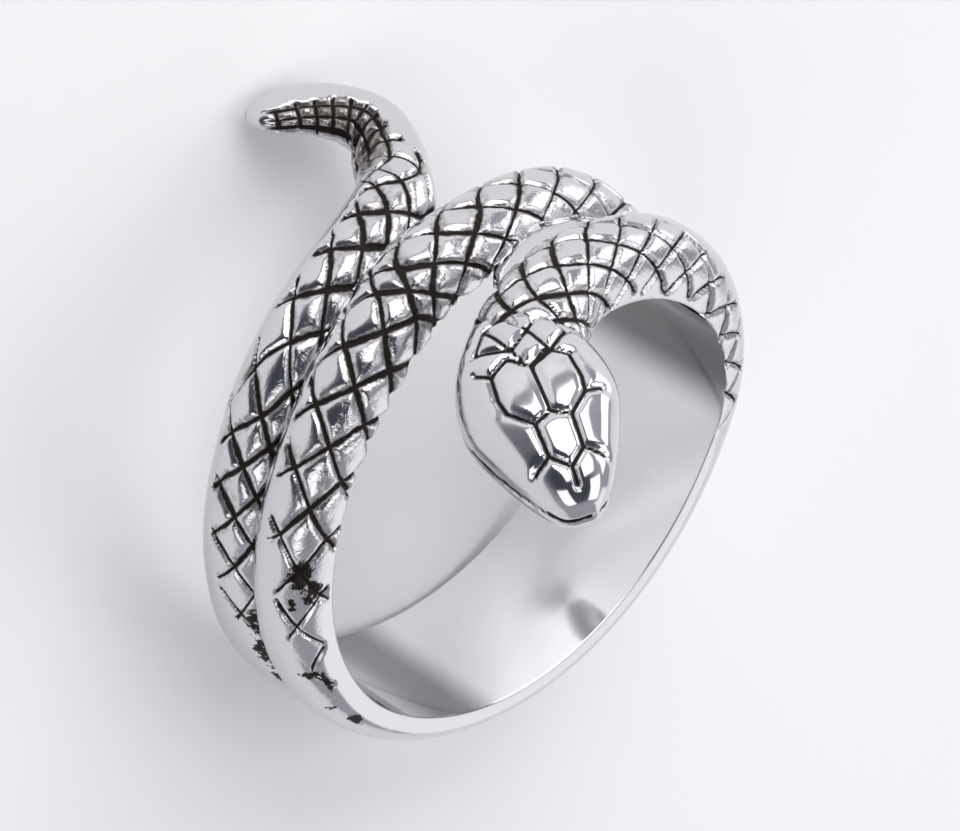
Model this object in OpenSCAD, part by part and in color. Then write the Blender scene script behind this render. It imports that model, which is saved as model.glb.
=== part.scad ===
// A cast silver snake coiled about two and a quarter turns round a finger.
// Until the last step the finger axis is Z. The tail trails below and the head lies above.
// The last step tips the coil into the pose in which it rests on its side.

/* [Size] */
// Radius of the round finger bore
bore_r = 8.65; // [8:0.05:9.5]
// Factor on the width of every strand
width_f = 1; // [0.94:0.01:1.05]
// Factor on the height of every strand
height_f = 1; // [0.9:0.01:1.1]

/* [Scales] */
// Depth of the grooves between the scales
groove_d = 0.17; // [0.05:0.01:0.25]
// Depth of the grooves between the plates of the head
plate_d = 0.16; // [0.05:0.01:0.2]
// Squareness of the rounded back
back_k = 2.3; // [2:0.1:3]

/* [Rest] */
// Turn towards which the finger axis leans when the ring lies on its side
lean_turn = 316; // [0:1:359]
// Lean of the finger axis when the ring lies on its side
lean_a = 20.3; // [0:0.1:40]

/* [Hidden] */

// Columns of the coil table: turn round the finger in degrees, place along the finger axis,
// underside and crest above the bore wall, width, roll about the strand's own line,
// share of the full groove depth.
TURN = 0;
AXIAL = 1;
UNDER = 2;
CREST = 3;
WIDE = 4;
ROLL = 5;
CARVE = 6;
coil = [
    [126, -12.4, 1.7, 2.1, 0.4, 0, 0],
    [124.8, -12.2, 1.6, 2.3, 1.2, 0, 0],
    [122, -11.85, 1.4, 2.45, 1.9, 0, 0.5],
    [114, -11.10, 0.9, 2.5, 2.4, 0, 0.8],
    [107.2, -9.95, 0.4, 2.4, 2.45, 0, 1],
    [107.2, -8.75, 0, 2.2, 2.4, 0, 1],
    [112.6, -7.40, -0.4, 2.0, 2.6, 0, 1],
    [120, -6.30, -0.6, 2.0, 2.9, 0, 1],
    [133, -5.50, -0.6, 2.0, 2.9, 0, 1],
    [148, -5.12, -0.6, 2.05, 2.9, 0, 1],
    [165, -4.80, -0.6, 2.05, 2.9, 0, 1],
    [182, -4.55, -0.6, 1.85, 2.9, 0, 1],
    [200, -4.40, -0.6, 1.7, 3.0, 0, 0.9],
    [216, -4.38, -0.6, 1.52, 3.1, 0, 0.6],
    [232, -4.38, -0.6, 1.5, 3.2, 0, 0.2],
    [255, -4.35, -0.6, 1.4, 3.3, 0, 0],
    [280, -4.30, -0.6, 1.38, 3.4, 0, 0],
    [310, -4.05, -0.6, 1.38, 3.4, 0, 0],
    [340, -3.75, -0.6, 1.38, 3.4, 0, 0],
    [370, -3.60, -0.6, 1.45, 3.4, 0, 0],
    [395, -3.45, -0.6, 1.7, 3.7, 0, 0.3],
    [418, -3.40, -0.6, 1.95, 3.6, 0, 0.9],
    [438, -3.55, -0.6, 2.2, 3.2, 0, 1],
    [456, -3.50, -0.6, 2.12, 3.1, 0, 1],
    [474, -3.25, -0.6, 1.86, 3.1, 0, 1],
    [492, -3.05, -0.6, 1.95, 3.1, 0, 1],
    [510, -2.55, -0.6, 1.95, 3.0, 0, 1],
    [527, -2.20, -0.6, 1.9, 2.9, 0, 1],
    [544, -2.00, -0.6, 1.85, 2.8, 0, 1],
    [562, -1.85, -0.6, 1.8, 2.8, 0, 1],
    [580, -1.75, -0.6, 1.7, 2.8, 0, 0.8],
    [596, -1.70, -0.6, 1.55, 2.9, 0, 0.3],
    [620, -1.65, -0.6, 1.4, 2.9, 0, 0],
    [650, -1.45, -0.6, 1.38, 3.0, 0, 0],
    [680, -1.20, -0.6, 1.5, 3.0, 0, 0],
    [708, -0.95, -0.6, 1.62, 3.0, 0, 0],
    [732, -0.60, -0.6, 1.66, 3.0, 0, 0.1],
    [750, -0.20, -0.6, 1.65, 3.1, 0, 0.5],
    [768, 0.15, -0.6, 1.85, 3.1, 0, 1],
    [786, 0.35, -0.6, 2.22, 3.1, 0, 1],
    [803, 0.45, -0.6, 2.35, 3.1, 0, 1],
    [819, 0.60, -0.6, 2.25, 3.1, 2, 1],
    [833, 0.90, -0.7, 2.25, 3.3, 8, 1],
    [845, 1.60, -0.8, 2.25, 3.7, 14, 1],
    [853, 2.50, -1, 2.25, 4.1, 20, 1],
    [860, 3.90, -1, 2.2, 4.0, 26, 0],
    [866, 5.20, -1, 2.1, 3.2, 28, 0],
    // A low web fills the valley between the last two turns. A row given twice ends or starts a strand.
    [866, 5.20, -1, 2.1, 3.2, 28, 0],
    [383, -1.80, -0.6, 0.9, 1.2, 0, 0],
    [383, -1.80, -0.6, 0.9, 1.2, 0, 0],
    [400, -1.57, -0.6, 1.1, 1.6, 0, 0],
    [420, -1.43, -0.6, 1.2, 2.0, 0, 0],
    [440, -1.53, -0.6, 1.2, 2.2, 0, 0],
    [460, -1.40, -0.6, 1.2, 2.2, 0, 0],
    [472, -1.20, -0.6, 1.1, 2.2, 0, 0],
    [478, -1.10, -0.6, 0.7, 2.0, 0, 0]
];

// The head lies along its own straight line, which leaves the finger wall at an angle to the turns.
head_turn = 144.5;
head_axial = 4.85;
head_heading = 62;
head_roll = 15;
// Height of that line above the bore wall.
head_h = 1;

// Columns of the head table: distance from the middle of the head towards the snout,
// half width, underside and crest above the head's line.
FORE = 0;
HALF = 1;
FLOOR = 2;
DOME = 3;
head = [
    [-3.2, 1.5, -1.2, 0.9],
    [-2.6, 2.0, -1.6, 1.1],
    [-1.8, 2.45, -2, 1.45],
    [-0.8, 2.65, -2, 1.65],
    [0.2, 2.6, -2, 1.65],
    [1.4, 2.15, -2, 1.5],
    [2.6, 1.6, -1.8, 1.25],
    [3.5, 1.1, -1.4, 0.9],
    [4, 0.6, -0.9, 0.4],
    [4.1, 0.2, -0.3, 0.1]
];

// A value between rows, with the curve of the rows on each side.
function blend(a, b, c, d, f) =
    b + f / 2 * (c - a + f * (2 * a - 5 * b + 4 * c - d + f * (3 * (b - c) + d - a)));
function pick(table, i) = table[max(0, min(len(table) - 1, i))];
function between(table, t) =
    let (i = floor(t))
    blend(pick(table, i - 1), pick(table, i), pick(table, i + 1), pick(table, i + 2), t - i);

// Height above the bore wall of the line about which a section rolls.
mid_h = 1;
// Metal left inside the bore wall by the rough cut, before the round one.
rough_t = 0.36;
// Distance from the middle of the band to the place on the finger axis that the tables start from.
band_mid = 3.2;
function radial(turn) = [cos(turn), sin(turn), 0];
function place(r) = (bore_r + mid_h) * radial(r[TURN]) + [0, 0, r[AXIAL]];
function unit(v) = v / norm(v);

// Length along the coil at each fine step, for even spacing of the scales.
fine = 10;
// Kept short of a table's last row.
short = 0.001;
last_row = len(coil) - 1;
marks = [for (i = [0 : fine * last_row]) place(between(coil, i / fine))];
last_mark = len(marks) - 1;
gaps = [for (i = [0 : last_mark]) i == 0 ? 0 : norm(marks[i] - marks[i - 1])];
travel = [for (i = 0, s = 0; i <= last_mark; s = s + (i < last_mark ? gaps[i + 1] : 0), i = i + 1) s];
steps = [for (i = [0 : last_mark]) [travel[i], i / fine]];
distances = [for (i = [0 : last_mark]) [i / fine, travel[i]]];
function row_at(s) = between(coil, min(last_row - short, lookup(s, steps)));
function travel_to(row) = lookup(row, distances);

// Points across a strand, on each side of the crest, four to the width of a scale.
back_n = 5;
// Angle of the outermost point of the rounded back.
edge_a = 74;
// Height of the plain flank above the bore wall, and the least back left above it.
side_h = 0.35;
back_h = 0.1;
// Outermost point that a groove reaches.
smooth_at = 3;
// Distance along the coil over which its direction is taken.
nudge = 0.05;
function power(x, p) = sign(x) * pow(abs(x), p);

// Share of the groove depth at a point: 1 on a groove, 0 on the middle of a scale.
// Counts run along and across the strand in quarters of a scale from a crossing.
// A groove is a third of a scale wide on each side of its line.
function off_line(x) = abs(x / 4 - round(x / 4));
function groove(k, j) = 1 - min(1, 3 * min(off_line(k + j), off_line(k - j)));

function section(s, k) =
    let (
        r = row_at(s),
        out = radial(r[TURN]),
        along = unit(place(row_at(s + nudge)) - place(row_at(s - nudge))),
        across = unit(cross(along, out)),
        up = cross(across, along),
        lat = cos(r[ROLL]) * across + sin(r[ROLL]) * up,
        top = cos(r[ROLL]) * up - sin(r[ROLL]) * across,
        half = width_f * r[WIDE] / 2,
        crest = height_f * r[CREST] - mid_h,
        under = r[UNDER] - mid_h,
        low = min(side_h, r[CREST] - back_h) + max(0, r[UNDER]) - mid_h,
        base = place(r)
    )
    concat(
        [base - half * lat + under * top, base - half * lat + low * top],
        [for (j = [-back_n : back_n])
            let (
                q = edge_a * j / back_n,
                x = half * power(sin(q), 2 / back_k),
                y = low + (crest - low) * power(cos(q), 2 / back_k),
                away = unit([x / half, (y - low) / (crest - low)]),
                cut = abs(j) > smooth_at ? 0 : groove_d * r[CARVE] * groove(k, j)
            )
            base + (x - cut * away[0]) * lat + (y - cut * away[1]) * top],
        [base + half * lat + low * top, base + half * lat + under * top]
    );

// A solid through a list of sections. Each panel is folded along the groove that crosses it.
module sweep(rings, phase) {
    n = len(rings);
    m = len(rings[0]);
    points = [for (ring = rings) each ring];
    sides = [for (i = [0 : n - 2]) for (j = [0 : m - 1])
        let (
            a = i * m + j,
            b = i * m + (j + 1) % m,
            c = b + m,
            d = a + m
        )
        each (i + j + phase) % 2 == 0 ? [[a, c, b], [a, d, c]] : [[a, d, b], [b, d, c]]];
    caps = [[for (j = [0 : m - 1]) j], [for (j = [m - 1 : -1 : 0]) (n - 1) * m + j]];
    polyhedron(points = points, faces = concat(sides, caps), convexity = 12);
}

// Columns of the run table: first row, first and last carved row, last row, length of a scale,
// place of one groove crossing on the crest.
FIRST = 0;
FROM = 1;
TO = 2;
LAST = 3;
SCALE_L = 4;
CROSSING = 5;
runs = [
    [0, 0, 14.6, 16, 1.67, 12.6],
    [16, 20, 31.2, 32, 2, 68.77],
    [32, 36, 44.6, 45.9, 1.95, 125],
    [49, 49, 54, 55, 5, 0]
];

// Plain sections stand about this far apart, and their count falls between the grooves.
plain_l = 1.7;
plain_k = 0.5;
function spread(a, b) =
    let (n = max(1, round(abs(b - a) / plain_l)))
    [for (i = [0 : n - 1]) a + (b - a) * i / n];

module run(r) {
    quarter = r[SCALE_L] / 4;
    low_k = ceil((travel_to(r[FROM]) - r[CROSSING]) / quarter);
    high_k = floor((travel_to(r[TO]) - r[CROSSING]) / quarter);
    before = r[FIRST] == r[FROM] ? [] : spread(travel_to(r[FIRST]), r[CROSSING] + low_k * quarter);
    after = spread(travel_to(r[LAST]), r[CROSSING] + high_k * quarter);
    rings = concat(
        [for (s = before) section(s, plain_k)],
        [for (k = [low_k : high_k]) section(r[CROSSING] + k * quarter, k)],
        [for (i = [len(after) - 1 : -1 : 0]) section(after[i], plain_k)]
    );
    sweep(rings, low_k + len(before) + back_n);
}

// Columns of the plate table: the two ends of each groove between plates, each as a distance
// towards the snout and a distance to the side. The other side of the head mirrors them.
plates = [
    [-0.95, 0, 0.95, 0],
    [-0.95, 0, -1.55, 0.65],
    [-1.55, 0.65, -1.1, 1.4],
    [-1.1, 1.4, -0.1, 1.5],
    [-0.1, 1.5, 0.5, 1.4],
    [0.5, 1.4, 0.5, 1.9],
    [0.5, 1.4, 1.25, 0.65],
    [1.25, 0.65, 0.95, 0],
    [1.25, 0.65, 2.5, 0.62],
    [2.5, 0.62, 3.05, 0],
    [2.5, 0.62, 2.8, 1.25],
    [3.05, 0, 3.65, 0],
    [-1.55, 0.65, -2.7, 0.15],
    [-1.55, 0.65, -2.5, 1.5]
];
// Width of a groove on each side of its line.
groove_w = 0.2;
// Share of the head's width at its underside, and height at which the jaw begins.
jaw_f = 0.6;
jaw_h = -0.2;
// Squareness of the top of the head and the angle of its outermost point.
head_k = 2.6;
head_a = 84;
// Points across the head on each side of its crest, and steps along it.
head_n = 12;
head_rows = 36;

function to_groove(p, g) =
    let (
        a = [g[0], g[1]],
        way = [g[2], g[3]] - a,
        f = max(0, min(1, (p - a) * way / (way * way)))
    )
    norm(p - a - f * way);
function plate_cut(p) = plate_d * max(0, 1 - min([for (g = plates) to_groove(p, g)]) / groove_w);

module skull() {
    n = len(head) - 1;
    rings = [for (i = [0 : head_rows])
        let (
            r = between(head, min(n - short, n * i / head_rows)),
            half = width_f * r[HALF]
        )
        concat(
            [[r[FORE], jaw_f * half, r[FLOOR]], [r[FORE], half, jaw_h]],
            [for (j = [head_n : -1 : -head_n])
                let (
                    q = head_a * j / head_n,
                    x = half * power(sin(q), 2 / head_k),
                    y = r[DOME] * power(cos(q), 2 / head_k)
                )
                [r[FORE], x, y - plate_cut([r[FORE], abs(x)])]],
            [[r[FORE], -half, jaw_h], [r[FORE], -jaw_f * half, r[FLOOR]]]
        )];
    out = radial(head_turn);
    round_way = [-sin(head_turn), cos(head_turn), 0];
    along = cos(head_heading) * round_way + [0, 0, sin(head_heading)];
    across = cross(out, along);
    right = cos(head_roll) * across - sin(head_roll) * out;
    up = cos(head_roll) * out + sin(head_roll) * across;
    base = (bore_r + head_h) * out + [0, 0, head_axial];
    spots = [for (ring = rings) [for (p = ring) base + p[0] * along + p[1] * right + p[2] * up]];
    sweep(spots, 0);
}

// Length of the cutters for the finger hole.
cutter_l = 40;

module snake_ring() {
    color([0.78, 0.78, 0.8])
    rotate(a = lean_a, v = [-sin(lean_turn), cos(lean_turn), 0])
    translate([0, 0, band_mid])
    difference() {
        // The zeros change no size and join the strands into one mesh.
        resize([0, 0, 0])
        difference() {
            union() {
                for (r = runs) run(r);
                skull();
            }
            cylinder(r = bore_r - rough_t, h = cutter_l, center = true, $fn = 72);
        }
        cylinder(r = bore_r, h = cutter_l, center = true, $fn = 240);
    }
}

snake_ring();
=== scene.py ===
import bisect
import math

import bpy
from mathutils import Matrix, Vector


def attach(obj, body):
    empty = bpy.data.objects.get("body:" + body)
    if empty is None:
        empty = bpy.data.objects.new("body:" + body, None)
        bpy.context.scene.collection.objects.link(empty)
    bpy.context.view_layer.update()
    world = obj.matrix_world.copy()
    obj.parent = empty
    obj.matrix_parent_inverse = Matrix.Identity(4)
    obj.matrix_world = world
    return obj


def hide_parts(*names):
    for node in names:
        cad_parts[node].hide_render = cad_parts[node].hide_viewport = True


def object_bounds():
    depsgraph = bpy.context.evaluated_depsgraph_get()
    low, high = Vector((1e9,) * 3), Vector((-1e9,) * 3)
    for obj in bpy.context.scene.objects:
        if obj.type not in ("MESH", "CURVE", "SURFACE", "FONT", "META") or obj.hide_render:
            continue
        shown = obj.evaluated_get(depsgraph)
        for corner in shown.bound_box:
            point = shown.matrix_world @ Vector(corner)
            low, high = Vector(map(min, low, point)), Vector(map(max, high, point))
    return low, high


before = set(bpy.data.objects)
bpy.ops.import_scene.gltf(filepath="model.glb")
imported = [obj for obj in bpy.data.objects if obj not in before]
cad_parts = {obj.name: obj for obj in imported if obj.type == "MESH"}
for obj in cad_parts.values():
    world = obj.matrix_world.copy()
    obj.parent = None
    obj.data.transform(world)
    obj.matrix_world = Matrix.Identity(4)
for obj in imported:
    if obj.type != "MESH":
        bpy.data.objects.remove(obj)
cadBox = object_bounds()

mm = 0.001


# A socket that takes part in sums, in geometry and shader trees alike.
class Val:
    def __init__(self, net, socket):
        self.net = net
        self.socket = socket

    def isVector(self):
        return self.socket.type in ("VECTOR", "RGBA")

    def work(self, operation, *terms):
        vector = any(t.isVector() if isinstance(t, Val) else isinstance(t, (tuple, Vector)) for t in terms)
        kind = "ShaderNodeVectorMath" if vector else "ShaderNodeMath"
        if vector:
            terms = [t if isinstance(t, (Val, tuple, Vector)) else (t, t, t) for t in terms]
        return self.net.add(kind, {"operation": operation}, dict(enumerate(terms)))

    def __add__(self, other): return self.work("ADD", self, other)
    def __radd__(self, other): return self.work("ADD", other, self)
    def __sub__(self, other): return self.work("SUBTRACT", self, other)
    def __rsub__(self, other): return self.work("SUBTRACT", other, self)
    def __mul__(self, other): return self.work("MULTIPLY", self, other)
    def __rmul__(self, other): return self.work("MULTIPLY", other, self)
    def __truediv__(self, other): return self.work("DIVIDE", self, other)
    def __rtruediv__(self, other): return self.work("DIVIDE", other, self)
    def __pow__(self, other): return self.work("POWER", self, other)
    def least(self, other): return self.work("MINIMUM", self, other)
    def most(self, other): return self.work("MAXIMUM", self, other)
    def whole(self): return self.work("FLOOR", self)
    def rest(self): return self.work("FRACT", self)
    def size(self): return self.work("ABSOLUTE", self)

    def toLine(self):  # distance to the nearest whole number
        return self.work("PINGPONG", self, 0.5)

    def times(self, number):  # a vector times one number
        return self.net.add("ShaderNodeVectorMath", {"operation": "SCALE"}, {0: self, "Scale": number})

    def dot(self, way):  # how far a vector reaches along a direction
        return self.net.add("ShaderNodeVectorMath", {"operation": "DOT_PRODUCT"}, {0: self, 1: way}, "Value")

    def part(self, axis):
        return self.net.add("ShaderNodeSeparateXYZ", {}, {0: self}, "XYZ".index(axis))

    def ramp(self, low, high, first=0.0, last=1.0):  # eased step from first to last
        return self.net.add("ShaderNodeMapRange", {"interpolation_type": "SMOOTHSTEP"},
                            {0: self, 1: low, 2: high, 3: first, 4: last})

    def hill(self, rise, top, edge, end):  # eased up to one, and down again
        return self.ramp(rise, top) * self.ramp(edge, end, 1.0, 0.0)

    def bell(self):  # one at zero, next to nothing from two on
        return self.work("EXPONENT", self * self * -1.0)


# A node tree with one way to add a node: type, settings, inputs, output.
class Net:
    def __init__(self, tree):
        self.tree = tree

    def add(self, kind, settings=None, inputs=None, out=0):
        node = self.tree.nodes.new(kind)
        for name, value in (settings or {}).items():
            setattr(node, name, value)
        for name, value in (inputs or {}).items():
            socket = node.inputs[name]
            for link in value if isinstance(value, list) else [value]:
                if isinstance(link, Val):
                    self.tree.links.new(link.socket, socket)
                else:
                    socket.default_value = link
        return Val(self, node.outputs[out]) if len(node.outputs) else None

    def attribute(self, name, kind="FLOAT"):
        return self.add("GeometryNodeInputNamedAttribute", {"data_type": kind}, {"Name": name})

    def keep(self, mesh, name, value):  # stores a number on every point
        return self.add("GeometryNodeStoreNamedAttribute", {"data_type": "FLOAT", "domain": "POINT"},
                        {"Geometry": mesh, "Name": name, "Value": value})

    def noise(self, place, scale, detail=2.0, rough=0.5, out=0):
        return self.add("ShaderNodeTexNoise", {"noise_dimensions": "3D"},
                        {"Vector": place, "Scale": scale, "Detail": detail, "Roughness": rough}, out)

    def joined(self, x, y, z):
        return self.add("ShaderNodeCombineXYZ", {}, {0: x, 1: y, 2: z})

    def blend(self, share, under, over):  # one colour laid over another
        under, over = (c if isinstance(c, Val) else (*c, 1) for c in (under, over))
        return self.add("ShaderNodeMix", {"data_type": "RGBA"}, {"Factor": share, 6: under, 7: over}, 2)


socketKinds = {"number": "NodeSocketFloat", "object": "NodeSocketObject", "material": "NodeSocketMaterial"}


# A new geometry tree, with its inputs given as {name: kind}.
# Returns the net, the mesh that comes in, and the inputs by name.
def geometryTree(name, inputs):
    tree = bpy.data.node_groups.new(name, "GeometryNodeTree")
    tree.interface.new_socket(name="Geometry", in_out="INPUT", socket_type="NodeSocketGeometry")
    for title, kind in inputs.items():
        tree.interface.new_socket(name=title, in_out="INPUT", socket_type=socketKinds[kind])
    tree.interface.new_socket(name="Geometry", in_out="OUTPUT", socket_type="NodeSocketGeometry")
    group = tree.nodes.new("NodeGroupInput")
    net = Net(tree)
    given = {socket.name: Val(net, socket) for socket in group.outputs if socket.name}
    return net, given["Geometry"], given


def endTree(net, mesh):
    last = net.tree.nodes.new("NodeGroupOutput")
    net.tree.links.new(mesh.socket, last.inputs[0])


def linked(name, data):
    obj = bpy.data.objects.new(name, data)
    bpy.context.scene.collection.objects.link(obj)
    return obj


def useTree(obj, tree, values):
    modifier = obj.modifiers.new(tree.name, "NODES")
    modifier.node_group = tree
    known = {item.name: item.identifier for item in tree.interface.items_tree if item.in_out == "INPUT"}
    for name, value in values.items():
        modifier[known[name]] = value


scaffold = []  # objects that only help to make the piece, removed at the end


# A mesh of loose points, with one attribute for each column.
def pointObject(name, places, columns, edges=()):
    mesh = bpy.data.meshes.new(name)
    mesh.from_pydata([tuple(p) for p in places], list(edges), [])
    for title, values in columns.items():
        if isinstance(values[0], Vector):
            made = mesh.attributes.new(title, "FLOAT_VECTOR", "POINT")
            made.data.foreach_set("vector", [c for v in values for c in v])
        else:
            made = mesh.attributes.new(title, "FLOAT", "POINT")
            made.data.foreach_set("value", values)
    scaffold.append(linked(name, mesh))
    return scaffold[-1]


# The tables count in millimetres and degrees round the finger axis.
# The casting is tipped into its resting pose at the end.
ring = {
    "boreR": 8.65,
    "boreSides": 720,
    "boreLong": 60.0,
    "boreSkin": 0.003,  # points this near to the bore belong to its wall
    "sharpBend": 9,     # the rim of the wall stays crisp where it bends by more degrees
    "leanTurn": 316,
    "lean": 20.3,
    "bandMid": 3.2,     # the middle of the band lies this far below the tables' own zero
    "midH": 1.0,        # height of the strands' own line above the bore
}


def ringToWorld():
    turn = math.radians(ring["leanTurn"])
    axis = Vector((-math.sin(turn), math.cos(turn), 0))
    tip = Matrix.Rotation(math.radians(ring["lean"]), 4, axis)
    return Matrix.Scale(mm, 4) @ tip @ Matrix.Translation((0, 0, ring["bandMid"]))


# A value between rows, with the curve of the rows on each side.
def between(rows, t):
    i = min(int(t), len(rows) - 1)
    f = t - i
    a, b, c, d = (rows[max(0, min(len(rows) - 1, i + k))] for k in (-1, 0, 1, 2))
    return [q + 0.5 * f * (r - p + f * (2 * p - 5 * q + 4 * r - s + f * (3 * (q - r) + s - p)))
            for p, q, r, s in zip(a, b, c, d)]


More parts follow.
